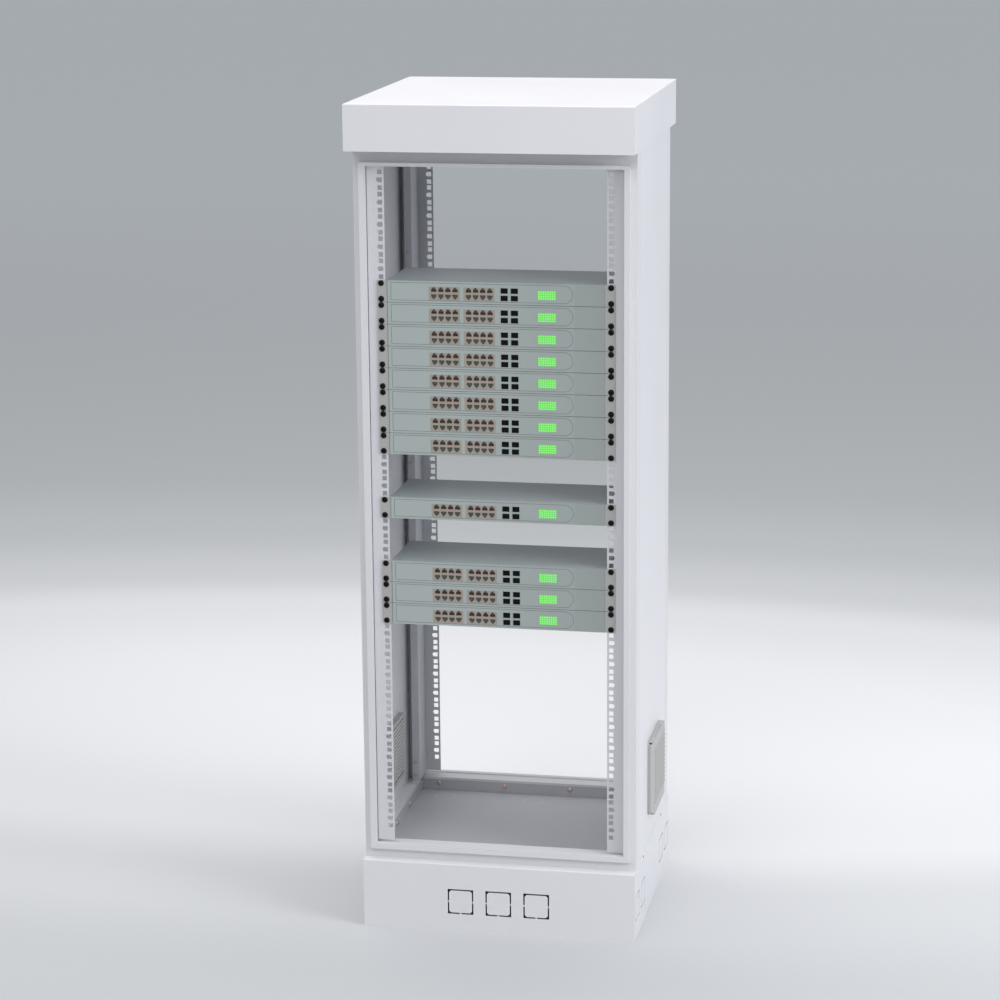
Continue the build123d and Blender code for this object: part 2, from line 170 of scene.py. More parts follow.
def new_group(name, inputs, outputs):
    """An empty shader node group, with its input and output nodes."""
    tree = bpy.data.node_groups.new(name, "ShaderNodeTree")
    for socket_name, kind, default in inputs:
        socket = tree.interface.new_socket(socket_name, in_out="INPUT", socket_type=kind)
        socket.default_value = default
    for socket_name, kind in outputs:
        tree.interface.new_socket(socket_name, in_out="OUTPUT", socket_type=kind)
    return tree, tree.nodes.new("NodeGroupInput"), tree.nodes.new("NodeGroupOutput")


def paint_group():
    """Powder coat: a slow drift of tone and roughness, and a fine grain."""
    if "Powder coat" in bpy.data.node_groups:
        return bpy.data.node_groups["Powder coat"]
    tree, given, made = new_group(
        "Powder coat",
        [
            ("Color", "NodeSocketColor", (0.8, 0.8, 0.8, 1)),
            ("Drift", "NodeSocketFloat", 0.03),
            ("Grain size", "NodeSocketFloat", 0.0011),
            ("Grain depth", "NodeSocketFloat", 0.25),
            ("Roughness", "NodeSocketFloat", 0.45),
        ],
        [("Color", "NodeSocketColor"), ("Roughness", "NodeSocketFloat"), ("Normal", "NodeSocketVector")],
    )
    nodes, links = tree.nodes, tree.links
    speck_share, rough_share = 0.06, 0.25
    place = surface_place(tree)
    drift = put(nodes, "ShaderNodeTexNoise")
    drift.inputs["Scale"].default_value = 3.1
    drift.inputs["Detail"].default_value = 3.0
    links.new(place, drift.inputs["Vector"])
    grain = put(nodes, "ShaderNodeTexNoise")
    grain.inputs["Detail"].default_value = 2.0
    links.new(place, grain.inputs["Vector"])
    links.new(math_node(tree, "DIVIDE", 1.0, given.outputs["Grain size"]), grain.inputs["Scale"])
    centred = math_node(tree, "SUBTRACT", drift.outputs["Fac"], 0.5)
    shift = math_node(tree, "MULTIPLY", centred, given.outputs["Drift"])
    speck = math_node(tree, "SUBTRACT", grain.outputs["Fac"], 0.5)
    speck = math_node(tree, "MULTIPLY", speck, speck_share)
    value = math_node(tree, "ADD", math_node(tree, "ADD", shift, speck), 1.0)
    tone = put(nodes, "ShaderNodeHueSaturation")
    links.new(given.outputs["Color"], tone.inputs["Color"])
    links.new(value, tone.inputs["Value"])
    links.new(tone.outputs["Color"], made.inputs["Color"])
    rough = math_node(tree, "MULTIPLY", centred, rough_share)
    links.new(math_node(tree, "ADD", given.outputs["Roughness"], rough, True), made.inputs["Roughness"])
    bump = put(nodes, "ShaderNodeBump")
    bump.inputs["Distance"].default_value = 0.0002
    links.new(given.outputs["Grain depth"], bump.inputs["Strength"])
    links.new(grain.outputs["Fac"], bump.inputs["Height"])
    links.new(bump.outputs["Normal"], made.inputs["Normal"])
    return tree


def tone_group():
    """An uneven tone between two colours, and the cloudy noise that it follows."""
    if "Uneven tone" in bpy.data.node_groups:
        return bpy.data.node_groups["Uneven tone"]
    tree, given, made = new_group(
        "Uneven tone",
        [
            ("Dark", "NodeSocketColor", (0.2, 0.2, 0.2, 1)),
            ("Pale", "NodeSocketColor", (0.8, 0.8, 0.8, 1)),
            ("Scale", "NodeSocketFloat", 420.0),
            ("Detail", "NodeSocketFloat", 2.0),
            ("Distortion", "NodeSocketFloat", 0.0),
        ],
        [("Color", "NodeSocketColor"), ("Cloud", "NodeSocketFloat")],
    )
    cloud = put(tree.nodes, "ShaderNodeTexNoise")
    tree.links.new(surface_place(tree), cloud.inputs["Vector"])
    for socket in ("Scale", "Detail", "Distortion"):
        tree.links.new(given.outputs[socket], cloud.inputs[socket])
    blend = put(tree.nodes, "ShaderNodeMix", data_type="RGBA")
    tree.links.new(given.outputs["Dark"], blend.inputs["A"])
    tree.links.new(given.outputs["Pale"], blend.inputs["B"])
    tree.links.new(cloud.outputs["Fac"], blend.inputs["Factor"])
    tree.links.new(blend.outputs["Result"], made.inputs["Color"])
    tree.links.new(cloud.outputs["Fac"], made.inputs["Cloud"])
    return tree


def uneven(tree, dark, pale, **noise):
    """The uneven tone in a material of its own colours and noise."""
    tone = put(tree.nodes, "ShaderNodeGroup", node_tree=tone_group())
    tone.inputs["Dark"].default_value = (*dark, 1)
    tone.inputs["Pale"].default_value = (*pale, 1)
    for socket, value in noise.items():
        tone.inputs[socket.capitalize()].default_value = value
    return tone.outputs["Color"], tone.outputs["Cloud"]


def new_material(name, **sockets):
    """A material with its own shader, and values for that shader's sockets."""
    material = bpy.data.materials.new(name)
    material.use_nodes = True
    shader = material.node_tree.nodes["Principled BSDF"]
    for socket, value in sockets.items():
        shader.inputs[socket.replace("_", " ").title().replace("Ior", "IOR")].default_value = value
    return material, material.node_tree, shader


def painted(name, rgb, grain=0.0011, depth=0.25, drift=0.03, roughness=0.45, **sockets):
    """Painted sheet or moulded plastic, with the powder coat's drift and grain."""
    material, tree, shader = new_material(name, **sockets)
    coat = put(tree.nodes, "ShaderNodeGroup", node_tree=paint_group())
    coat.inputs["Color"].default_value = (*rgb, 1)
    coat.inputs["Grain size"].default_value = grain
    coat.inputs["Grain depth"].default_value = depth
    coat.inputs["Drift"].default_value = drift
    coat.inputs["Roughness"].default_value = roughness
    tree.links.new(coat.outputs["Color"], shader.inputs["Base Color"])
    tree.links.new(coat.outputs["Roughness"], shader.inputs["Roughness"])
    tree.links.new(coat.outputs["Normal"], shader.inputs["Normal"])
    return material


def beyond(tree, axis, limit, width=0.0002, both=True):
    """A mask that is 1 where the place along an axis is past a limit, or past it on either side."""
    split = put(tree.nodes, "ShaderNodeSeparateXYZ")
    tree.links.new(surface_place(tree), split.inputs["Vector"])
    distance = split.outputs[axis]
    if both:
        distance = math_node(tree, "ABSOLUTE", distance, 0.0)
    step = math_node(tree, "SUBTRACT", distance, limit)
    return math_node(tree, "DIVIDE", step, width, True)


def recolour(material, mask, rgb):
    """Paint a second colour into a painted material where a mask is 1."""
    tree = material.node_tree
    coat = next(node for node in tree.nodes if node.type == "GROUP")
    blend = put(tree.nodes, "ShaderNodeMix", data_type="RGBA")
    blend.inputs["A"].default_value = coat.inputs["Color"].default_value
    blend.inputs["B"].default_value = (*rgb, 1)
    tree.links.new(mask, blend.inputs["Factor"])
    tree.links.new(blend.outputs["Result"], coat.inputs["Color"])


def plated(name, rgb, roughness):
    """Plated or blackened steel with a fine uneven sheen."""
    material, tree, shader = new_material(name, metallic=1.0)
    tone, cloud = uneven(tree, scaled(rgb, 0.8), scaled(rgb, 1.15), scale=420.0)
    spread = 0.2
    rough = math_node(tree, "MULTIPLY", cloud, spread)
    tree.links.new(tone, shader.inputs["Base Color"])
    tree.links.new(math_node(tree, "ADD", rough, roughness - spread / 2), shader.inputs["Roughness"])
    return material


def fleece(name, rgb):
    """Loose grey fibres, pressed into a mat."""
    material, tree, shader = new_material(name, roughness=0.95, sheen_weight=0.3)
    tone, fibres = uneven(tree, scaled(rgb, 0.7), rgb, scale=700.0, detail=5.0, distortion=2.5)
    tree.links.new(tone, shader.inputs["Base Color"])
    bump = put(tree.nodes, "ShaderNodeBump")
    bump.inputs["Distance"].default_value = 0.0008
    bump.inputs["Strength"].default_value = 0.8
    tree.links.new(fibres, bump.inputs["Height"])
    tree.links.new(bump.outputs["Normal"], shader.inputs["Normal"])
    return material


def lit(name, rgb):
    """Lit plastic with a slightly uneven glow."""
    unlit = (0.02, 0.12, 0.02, 1)
    material, tree, shader = new_material(name, base_color=unlit, roughness=0.35, emission_strength=0.9)
    red, green, blue = rgb
    dim = (red, green * 0.86, blue)
    strong = (min(1.0, red * 1.9), green, min(1.0, blue * 1.9))
    glow = uneven(tree, dim, strong, scale=350.0)[0]
    tree.links.new(glow, shader.inputs["Emission Color"])
    return material


def give(names, material):
    """Put one material on CAD nodes."""
    for name in names:
        mesh = frame["nodes"][name].data
        mesh.materials.clear()
        mesh.materials.append(material)


def nodes_named(*starts):
    """CAD nodes whose names start in one of these ways."""
    return [name for name in frame["nodes"] if name.startswith(starts)]


# Geometry node trees


def new_tree(name, inputs):
    """An empty geometry node tree with named inputs."""
    tree = bpy.data.node_groups.new(name, "GeometryNodeTree")
    tree.interface.new_socket("Geometry", in_out="INPUT", socket_type="NodeSocketGeometry")
    for socket_name, kind, default in inputs:
        socket = tree.interface.new_socket(socket_name, in_out="INPUT", socket_type=kind)
        socket.default_value = default
    tree.interface.new_socket("Material", in_out="INPUT", socket_type="NodeSocketMaterial")
    tree.interface.new_socket("Geometry", in_out="OUTPUT", socket_type="NodeSocketGeometry")
    return tree, tree.nodes.new("NodeGroupInput"), tree.nodes.new("NodeGroupOutput")


def combine(tree, *parts):
    """A vector from three numbers or sockets."""
    node = put(tree.nodes, "ShaderNodeCombineXYZ")
    for socket, value in zip(node.inputs, parts):
        feed(tree, socket, value)
    return node.outputs[0]


def cube(tree, size, place):
    """A box of a size at a place, both vector sockets."""
    box = put(tree.nodes, "GeometryNodeMeshCube")
    tree.links.new(size, box.inputs["Size"])
    move = put(tree.nodes, "GeometryNodeTransform")
    tree.links.new(box.outputs["Mesh"], move.inputs["Geometry"])
    tree.links.new(place, move.inputs["Translation"])
    return move.outputs["Geometry"]


def finish_tree(tree, given, made, shape):
    """Set a shape on every point, facing the way the point says, and give it its material."""
    facing = put(tree.nodes, "GeometryNodeInputNamedAttribute", data_type="FLOAT_VECTOR")
    facing.inputs["Name"].default_value = "facing"
    turn = put(tree.nodes, "FunctionNodeAlignRotationToVector", axis="Z")
    tree.links.new(facing.outputs["Attribute"], turn.inputs["Vector"])
    spread = put(tree.nodes, "GeometryNodeInstanceOnPoints")
    tree.links.new(given.outputs["Geometry"], spread.inputs["Points"])
    tree.links.new(shape, spread.inputs["Instance"])
    tree.links.new(turn.outputs["Rotation"], spread.inputs["Rotation"])
    real = put(tree.nodes, "GeometryNodeRealizeInstances")
    tree.links.new(spread.outputs["Instances"], real.inputs["Geometry"])
    paint = put(tree.nodes, "GeometryNodeSetMaterial")
    tree.links.new(real.outputs["Geometry"], paint.inputs["Geometry"])
    tree.links.new(given.outputs["Material"], paint.inputs["Material"])
    tree.links.new(paint.outputs["Geometry"], made.inputs["Geometry"])


def screw_tree():
    """Domed screw heads with a cross recess."""
    if "Screw heads" in bpy.data.node_groups:
        return bpy.data.node_groups["Screw heads"]
    tree, given, made = new_tree(
        "Screw heads",
        [
            ("Head radius", "NodeSocketFloat", 0.0056),
            ("Head height", "NodeSocketFloat", 0.0031),
            ("Recess", "NodeSocketFloat", 0.0013),
        ],
    )
    radius, height, recess = (given.outputs[n] for n in ("Head radius", "Head height", "Recess"))
    ball = put(tree.nodes, "GeometryNodeMeshUVSphere")
    ball.inputs["Segments"].default_value = 24
    ball.inputs["Rings"].default_value = 12
    ball.inputs["Radius"].default_value = 1.0
    flatten = put(tree.nodes, "GeometryNodeTransform")
    tree.links.new(ball.outputs["Mesh"], flatten.inputs["Geometry"])
    tree.links.new(combine(tree, radius, radius, height), flatten.inputs["Scale"])
    wide = math_node(tree, "MULTIPLY", radius, 3.0)
    drop = math_node(tree, "MULTIPLY", radius, -1.5)
    lift = math_node(tree, "MULTIPLY", height, 0.95)
    arm = math_node(tree, "MULTIPLY", radius, 1.15)
    deep = math_node(tree, "MULTIPLY", height, 1.1)
    cut = put(tree.nodes, "GeometryNodeMeshBoolean", operation="DIFFERENCE")
    cut.solver = "EXACT"
    tree.links.new(flatten.outputs["Geometry"], cut.inputs["Mesh 1"])
    for size, place in (
        (combine(tree, wide, wide, wide), combine(tree, 0.0, 0.0, drop)),
        (combine(tree, arm, recess, deep), combine(tree, 0.0, 0.0, lift)),
        (combine(tree, recess, arm, deep), combine(tree, 0.0, 0.0, lift)),
    ):
        tree.links.new(cube(tree, size, place), cut.inputs["Mesh 2"])
    finish_tree(tree, given, made, cut.outputs["Mesh"])
    return tree


def block_tree():
    """Plain blocks that stand on their points."""
    if "Blocks" in bpy.data.node_groups:
        return bpy.data.node_groups["Blocks"]
    tree, given, made = new_tree(
        "Blocks",
        [
            ("Width", "NodeSocketFloat", 0.01),
            ("Length", "NodeSocketFloat", 0.01),
            ("Height", "NodeSocketFloat", 0.01),
        ],
    )
    size = combine(tree, given.outputs["Width"], given.outputs["Length"], given.outputs["Height"])
    half = math_node(tree, "MULTIPLY", given.outputs["Height"], 0.5)
    finish_tree(tree, given, made, cube(tree, size, combine(tree, 0.0, 0.0, half)))
    return tree


def points_object(name, places, ways):
    """Loose points, each with the way it faces."""
    mesh = bpy.data.meshes.new(name)
    mesh.from_pydata([tuple(place) for place in places], [], [])
    attribute = mesh.attributes.new("facing", "FLOAT_VECTOR", "POINT")
    attribute.data.foreach_set("vector", [part for way in ways for part in way])
    thing = bpy.data.objects.new(name, mesh)
    bpy.context.scene.collection.objects.link(thing)
    return thing


def grow(name, places, facing, tree, material, slot, **values):
    """Run a tree on points and keep the result as a plain mesh.

    All the points face one way, or facing is a list with a way for each.
    """
    ways = [facing] * len(places) if isinstance(facing, tuple) else facing
    thing = points_object(name, places, ways)
    modifier = thing.modifiers.new(tree.name, "NODES")
    modifier.node_group = tree
    sockets = {item.name: item.identifier for item in tree.interface.items_tree if item.in_out == "INPUT"}
    for key, value in values.items():
        modifier[sockets[key.replace("_", " ").capitalize()]] = value
    modifier[sockets["Material"]] = material
    seen = thing.evaluated_get(bpy.context.evaluated_depsgraph_get())
    mesh = bpy.data.meshes.new_from_object(seen)
    points = thing.data
    thing.modifiers.remove(modifier)
    thing.data = mesh
    mesh.name = name
    bpy.data.meshes.remove(points)
    if not mesh.polygons:
        raise RuntimeError(f"{name} came out empty")
    settle(thing)


def settle(thing):
    """A finished piece rides on the cabinet."""
    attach(thing, CABINET)


def mesh_piece(name, verts, faces, material):
    """A piece from its points and faces, with its normals outwards."""
    mesh = bpy.data.meshes.new(name)
    mesh.from_pydata(verts, [], faces)
    work = bmesh.new()
    work.from_mesh(mesh)
    bmesh.ops.remove_doubles(work, verts=work.verts, dist=1e-7)
    bmesh.ops.recalc_face_normals(work, faces=work.faces)
    work.to_mesh(mesh)
    work.free()
    mesh.materials.append(material)
    thing = bpy.data.objects.new(name, mesh)
    bpy.context.scene.collection.objects.link(thing)
    settle(thing)


class Solid:
    """Collects outlines that are pushed out into solids."""

    def __init__(self):
        self.verts = []
        self.faces = []

    def prism(self, outline, depth, at):
        """Push a closed outline of (x, z) towards the back from y = at by a depth."""
        start = len(self.verts)
        count = len(outline)
        self.verts += [(x, at, z) for x, z in outline] + [(x, at + depth, z) for x, z in outline]
        front = list(range(start, start + count))
        back = [i + count for i in front]
        self.faces += [front, back[::-1]]
        self.faces += [
            [front[i], back[i], back[(i + 1) % count], front[(i + 1) % count]] for i in range(count)
        ]

    def ring(self, outer, inner, depth, at):
        """A wall between two outlines with the same number of points."""
        start = len(self.verts)
        count = len(outer)
        for y in (at, at + depth):
            self.verts += [(x, y, z) for x, z in outer] + [(x, y, z) for x, z in inner]
        a, b, c, d = (start + i * count for i in range(4))
        for i in range(count):
            j = (i + 1) % count
            self.faces += [
                [a + i, a + j, b + j, b + i],
                [c + i, d + i, d + j, c + j],
                [a + i, c + i, c + j, a + j],
                [b + i, b + j, d + j, d + i],
            ]

    def piece(self, name, material, slot):
        """Make one piece of all that was collected."""
        mesh_piece(name, self.verts, self.faces, material)


def rectangle(x, z, width, height):
    """Corners of a rectangle around its centre."""
    w, h = width / 2, height / 2
    return [(x - w, z - h), (x + w, z - h), (x + w, z + h), (x - w, z + h)]


# The places of the switches and of what their fronts hold


def switch_base(number):
    """Bottom of a switch's case."""
    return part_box(f"switch_{number:02d}_case")[0].z


FASCIA_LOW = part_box("switch_01_fascia")[0]
FRONT = FASCIA_LOW.y
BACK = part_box("switch_01_case")[1].y

# The two windows of a front, and how far the ports' centre is from a window's centre
FIELD_CENTRES = (-0.1037, -0.0331)
FIELD_WIDTH, FIELD_HEIGHT, FIELD_BASE = 0.063, 0.0272, 0.0054
PORTS_RIGHT, PORTS_UP = 0.0004, 0.0009
PORT_COLUMNS, PORT_ROWS = (-1.5, -0.5, 0.5, 1.5), (-0.5, 0.5)

# Bottom of a port's mouth, then each half width and the height that it reaches
MOUTH_BOTTOM = -0.0042
MOUTH_STEPS = ((0.0056, 0.0012), (0.0044, 0.0026), (0.0031, 0.0042), (0.0016, 0.0057))

# Grain of the small mouldings
FINE = {"grain": 0.0004, "depth": 0.05}


def field_middle(number):
    """Height of the middle of a switch's two windows."""
    return switch_base(number) + FIELD_BASE + FIELD_HEIGHT / 2


def port_places(looks):
    """Centre of every port, and whether its latch is at the top."""
    places = []
    for number in switches:
        middle = field_middle(number) + PORTS_UP
        for centre in FIELD_CENTRES:
            for column in PORT_COLUMNS:
                for row in PORT_ROWS:
                    x = centre + PORTS_RIGHT + column * looks.port_pitch
                    places.append((x, middle + row * looks.row_pitch, row > 0))
    return places


def port_opening(x, z, latch_up):
    """Outline of a port's mouth: a wide slot that narrows in steps towards its latch."""
    up = 1 if latch_up else -1
    half, height = [], MOUTH_BOTTOM
    for width, top in MOUTH_STEPS:
        half += [(width, height), (width, top)]
        height = top
    right = [(x + a, z + up * b) for a, b in half]
    left = [(x - a, z + up * b) for a, b in reversed(half)]
    outline = right + left
    return outline if latch_up else outline[::-1]


def port_cell(mouth, x, z, w, h):
    """The points of a mouth, pushed out to the edges of the port's cell."""
    push = 9
    return [
        (max(x - w, min(x + w, x + (a - x) * push)), max(z - h, min(z + h, z + (b - z) * push)))
        for a, b in mouth
    ]


def front_outline(base, grow_by):
    """Path of the line on a switch's front, square at the left and round at the right."""
    left, right, bottom, top = -0.2122, 0.1562, 0.0046, 0.0399
    apart, step = 0.0001, 15
    radius = (top - bottom) / 2 - apart
    r = radius + grow_by
    points = [(left - grow_by, base + top + grow_by), (left - grow_by, base + bottom - grow_by)]
    for start, z in ((-90, bottom + radius), (0, top - radius)):
        for degrees in range(start, start + 90 + step, step):
            angle = math.radians(degrees)
            points.append((right - radius + r * math.cos(angle), base + z + r * math.sin(angle)))
    return points


# Operators


class CABINET_OT_paint(bpy.types.Operator):
    """Powder coat on the sheet-steel pieces"""

    bl_idname = "cabinet.paint"
    bl_label = "Paint the sheets"

    def execute(self, context):
        paint = context.scene.cabinet_paint
        shell = painted("shell_powder_coat", paint.shell, paint.grain, roughness=0.42)
        rail = painted("rail_powder_coat", paint.rail, paint.grain, roughness=0.45)
        inner = painted("inner_powder_coat", paint.inner, paint.grain, roughness=0.5)
        # A little darker than the shell: painted shade on the frame
        members = painted("frame_powder_coat", paint.frame, paint.grain, roughness=0.45)
        give(nodes_named("side_panel", "canopy"), shell)
        give(["plinth"], self.plinth_paint(paint))
        give(nodes_named("sill", "side_sill", "column", "header", "top_beam"), members)
        give(nodes_named("rail"), rail)
        give(nodes_named("floor_tray", "roof_panel", "canopy_bearer"), inner)
        return {"FINISHED"}

    def plinth_paint(self, paint):
        """Powder coat outside, and painted shade inside where the plinth lies in shadow."""
        material = painted("plinth_powder_coat", paint.shell, paint.grain, roughness=0.42)
        tree = material.node_tree
        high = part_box("plinth")[1]
        skin = 0.0013
        sides = math_node(tree, "MAXIMUM", beyond(tree, "X", high.x - skin), beyond(tree, "Y", high.y - skin))
        outside = math_node(tree, "MAXIMUM", sides, beyond(tree, "Z", high.z - skin, both=False))
        # Painted shade on every face inside the plinth
        recolour(material, math_node(tree, "SUBTRACT", 1.0, outside), paint.plinth_shade)
        return material


class CABINET_OT_vents(bpy.types.Operator):
    """Moulded plastic, fleece and guard bars of the vents"""

    bl_idname = "cabinet.vents"
    bl_label = "Finish the vents"

    def execute(self, context):
        paint = context.scene.cabinet_paint
        moulded = {"grain": 0.0005, "depth": 0.12, "drift": 0.02, "roughness": 0.55}
        give(nodes_named("vent_"), painted("vent_plastic", paint.vent, **moulded))
        give(nodes_named("filter_mat"), fleece("filter_fleece", paint.fleece))
        pale = painted("guard_plastic", paint.guard, **moulded)
        rows, pitch, bar, half_gap = 14, 0.0084, 0.0635, 0.002
        for side, name in ((-1, "left"), (1, "right")):
            low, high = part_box(f"filter_mat_{name}")
            middle = (low + high) / 2
            inner = min(abs(corner.x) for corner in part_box(f"vent_frame_{name}"))
            heights = [middle.z + (i - (rows - 1) / 2) * pitch for i in range(rows)]
            places = [
                (side * inner, middle.y + half * (bar / 2 + half_gap), z) for half in (-1, 1) for z in heights
            ]
            grow(
                f"guard_bars_{name}", places, (side, 0, 0), block_tree(), pale, "vent_plastic",
                width=0.0042, length=bar, height=0.002,
            )
        return {"FINISHED"}


class CABINET_OT_switch_paint(bpy.types.Operator):
    """Painted cases and moulded fronts of the switches"""

    bl_idname = "cabinet.switch_paint"
    bl_label = "Paint the switches"

    def execute(self, context):
        looks = context.scene.switch_looks
        case = painted("switch_case_paint", looks.case, grain=0.0006, depth=0.15, roughness=0.42)
        case_side = -FASCIA_LOW.x + 0.0008
        recolour(case, beyond(case.node_tree, "X", case_side), looks.ear)
        give([f"switch_{number:02d}_case" for number in switches], case)
        front = painted(
            "switch_front_plastic", looks.front, grain=0.0004, depth=0.08, drift=0.02, roughness=0.5
        )
        give([f"switch_{number:02d}_fascia" for number in switches], front)
        self.paint_shade_right(front, looks.front)
        return {"FINISHED"}

    def paint_shade_right(self, front, rgb):
        """Paint shade on a front, darker to the right where less light falls, with a real step in tone where
        its bare right end starts.
        """
        fade_start, fade_width, fade_share, bare_start, darkest = -0.12, 0.34, 0.8, 0.159, 0.76
        tree = front.node_tree
        # Painted shade: the fade across the front stands in for light falling off to the right
        fade = beyond(tree, "X", fade_start, fade_width, both=False)
        fade = math_node(tree, "MULTIPLY", fade, fade_share)
        # The step at the bare right end is a real change in the front's tone
        bare = math_node(tree, "MULTIPLY", beyond(tree, "X", bare_start, both=False), 1 - fade_share)
        recolour(front, math_node(tree, "ADD", fade, bare), scaled(rgb, darkest))


class CABINET_OT_ports(bpy.types.Operator):
    """Network ports in the windows of each switch's front"""

    bl_idname = "cabinet.ports"
    bl_label = "Add the ports"

    def execute(self, context):
        looks = context.scene.switch_looks
        metal = painted("port_shell_plating", looks.shell, drift=0.02, roughness=0.42, **FINE)
        grey = painted("port_lining_plastic", looks.lining, roughness=0.5, **FINE)
        red = painted("upper_port_lining_plastic", looks.lining_red, roughness=0.5, **FINE)
        shells, linings, upper = Solid(), Solid(), Solid()
        setback, lining_sheet = 0.0003, 0.0003
        red_width, red_height, red_drop, red_sheet = 0.0112, 0.0036, 0.0020, 0.0012
        face = FRONT + setback
        back = face + looks.port_depth
        w, h = looks.port_pitch / 2, looks.row_pitch / 2
        for x, z, latch_up in port_places(looks):
            mouth = port_opening(x, z, latch_up)
            shells.ring(port_cell(mouth, x, z, w, h), mouth, looks.port_depth, face)
            linings.prism(rectangle(x, z, 2 * w, 2 * h), lining_sheet, back)
            if latch_up:
                roof = rectangle(x, z - red_drop, red_width, red_height)
                upper.prism(roof, red_sheet, back - red_sheet)
        self.surrounds(looks, shells, face)
        shells.piece("port_shells", metal, "port_metal")
        linings.piece("port_linings", grey, "port_black")
        upper.piece("upper_port_linings", red, "port_black")
        self.contacts(looks, face)
        return {"FINISHED"}

    def surrounds(self, looks, shells, face):
        """Metal between each block of ports and the edges of its window."""
        width, height = len(PORT_COLUMNS) * looks.port_pitch, len(PORT_ROWS) * looks.row_pitch
        for number in switches:
            middle = field_middle(number)
            for centre in FIELD_CENTRES:
                outer = rectangle(centre, middle, FIELD_WIDTH, FIELD_HEIGHT)
                inner = rectangle(centre + PORTS_RIGHT, middle + PORTS_UP, width, height)
                inner = [(x, min(z, middle + FIELD_HEIGHT / 2)) for x, z in inner]
                shells.ring(outer, inner, looks.port_depth, face)

    def contacts(self, looks, face):
        """Eight contacts opposite the latch of every port."""
        gold = plated("port_contact_plating", looks.contact, 0.3)
        count, pitch, set_in, drop = 8, 0.00102, 0.0022, 0.0037
        pins = [
            (x + (i - (count - 1) / 2) * pitch, face + set_in, z - (drop if latch_up else -drop))
            for x, z, latch_up in port_places(looks)
            for i in range(count)
        ]
        grow(
            "port_contacts", pins, TO_BACK, block_tree(), gold, "port_metal",
            width=0.0004, length=0.0005, height=0.0014,
        )


class CABINET_OT_sockets(bpy.types.Operator):
    """Black module sockets beside the ports"""

    bl_idname = "cabinet.sockets"
    bl_label = "Add the module sockets"

    def execute(self, context):
        looks = context.scene.switch_looks
        black = painted(
            "socket_black_plastic", looks.socket, roughness=0.7, specular_ior_level=0.15, **FINE
        )
        columns, rows = (0.0182, 0.03875), (0.0125, 0.02745)
        rim, mouth = (0.0141, 0.0105), (0.0127, 0.0091)
        rim_stand, flap_sheet = 0.0006, 0.0002
        rib_side, rib_width, rib_sheet, rib_stand = 0.0033, 0.0006, 0.0003, 0.0005
        places = [(x, switch_base(number) + row) for number in switches for x in columns for row in rows]
        frames, flaps = Solid(), Solid()
        for x, z in places:
            frames.ring(rectangle(x, z, *rim), rectangle(x, z, *mouth), rim_stand, FRONT - rim_stand)
            flaps.prism(rectangle(x, z, *mouth), flap_sheet, FRONT - flap_sheet)
            for side in (-1, 1):
                rib = rectangle(x + side * rib_side, z, rib_width, mouth[1])
                flaps.prism(rib, rib_sheet, FRONT - rib_stand)
        frames.piece("socket_frames", black, "port_black")
        flaps.piece("socket_flaps", black, "port_black")
        return {"FINISHED"}


class CABINET_OT_displays(bpy.types.Operator):
    """Lit displays at the right of the switches"""

    bl_idname = "cabinet.displays"
    bl_label = "Add the displays"

    def execute(self, context):
        looks = context.scene.switch_looks
        centre, up, width, height = 0.1038, 0.0199, 0.0363, 0.0178
        panel_sheet, lamp_sheet, lamp_stand = 0.0004, 0.0002, 0.0006
        lamp_share, lamp_sides = 0.46, 8
        step_x, step_z = width / looks.lamp_columns, height / looks.lamp_rows
        turn = [2 * math.pi / lamp_sides * (i + 0.5) for i in range(lamp_sides)]
        panels, lamps = Solid(), Solid()
        for number in switches:
            middle = switch_base(number) + up
            panels.prism(rectangle(centre, middle, width, height), panel_sheet, FRONT - panel_sheet)
            for i in range(looks.lamp_columns):
                for j in range(looks.lamp_rows):
                    x = centre + (i + 0.5 - looks.lamp_columns / 2) * step_x
                    z = middle + (j + 0.5 - looks.lamp_rows / 2) * step_z
                    rim = [
                        (x + step_x * lamp_share * math.cos(a), z + step_z * lamp_share * math.sin(a))
                        for a in turn
                    ]
                    lamps.prism(rim, lamp_sheet, FRONT - lamp_stand)
        panels.piece("display_panels", lit("display_green", looks.gap), "display_green")
        lamps.piece("display_lamps", lit("display_lamp", looks.display), "display_green")
        return {"FINISHED"}


class CABINET_OT_outlines(bpy.types.Operator):
    """Fine dark line on each switch's front, painted shade along its debossed outline"""

    bl_idname = "cabinet.outlines"
    bl_label = "Add the front outlines"

    def execute(self, context):
        looks = context.scene.switch_looks
        # Painted shade: a dark film where the front has a debossed groove
        groove_shade = painted("outline_groove_shade", looks.line, grain=0.0004, depth=0.02, roughness=0.6)
        line, film = 0.0009, 0.0001
        lines = Solid()
        for number in switches:
            base = switch_base(number)
            lines.ring(front_outline(base, line / 2), front_outline(base, -line / 2), film, FRONT - film)
        lines.piece("front_outlines", groove_shade, "switch_front")
        return {"FINISHED"}


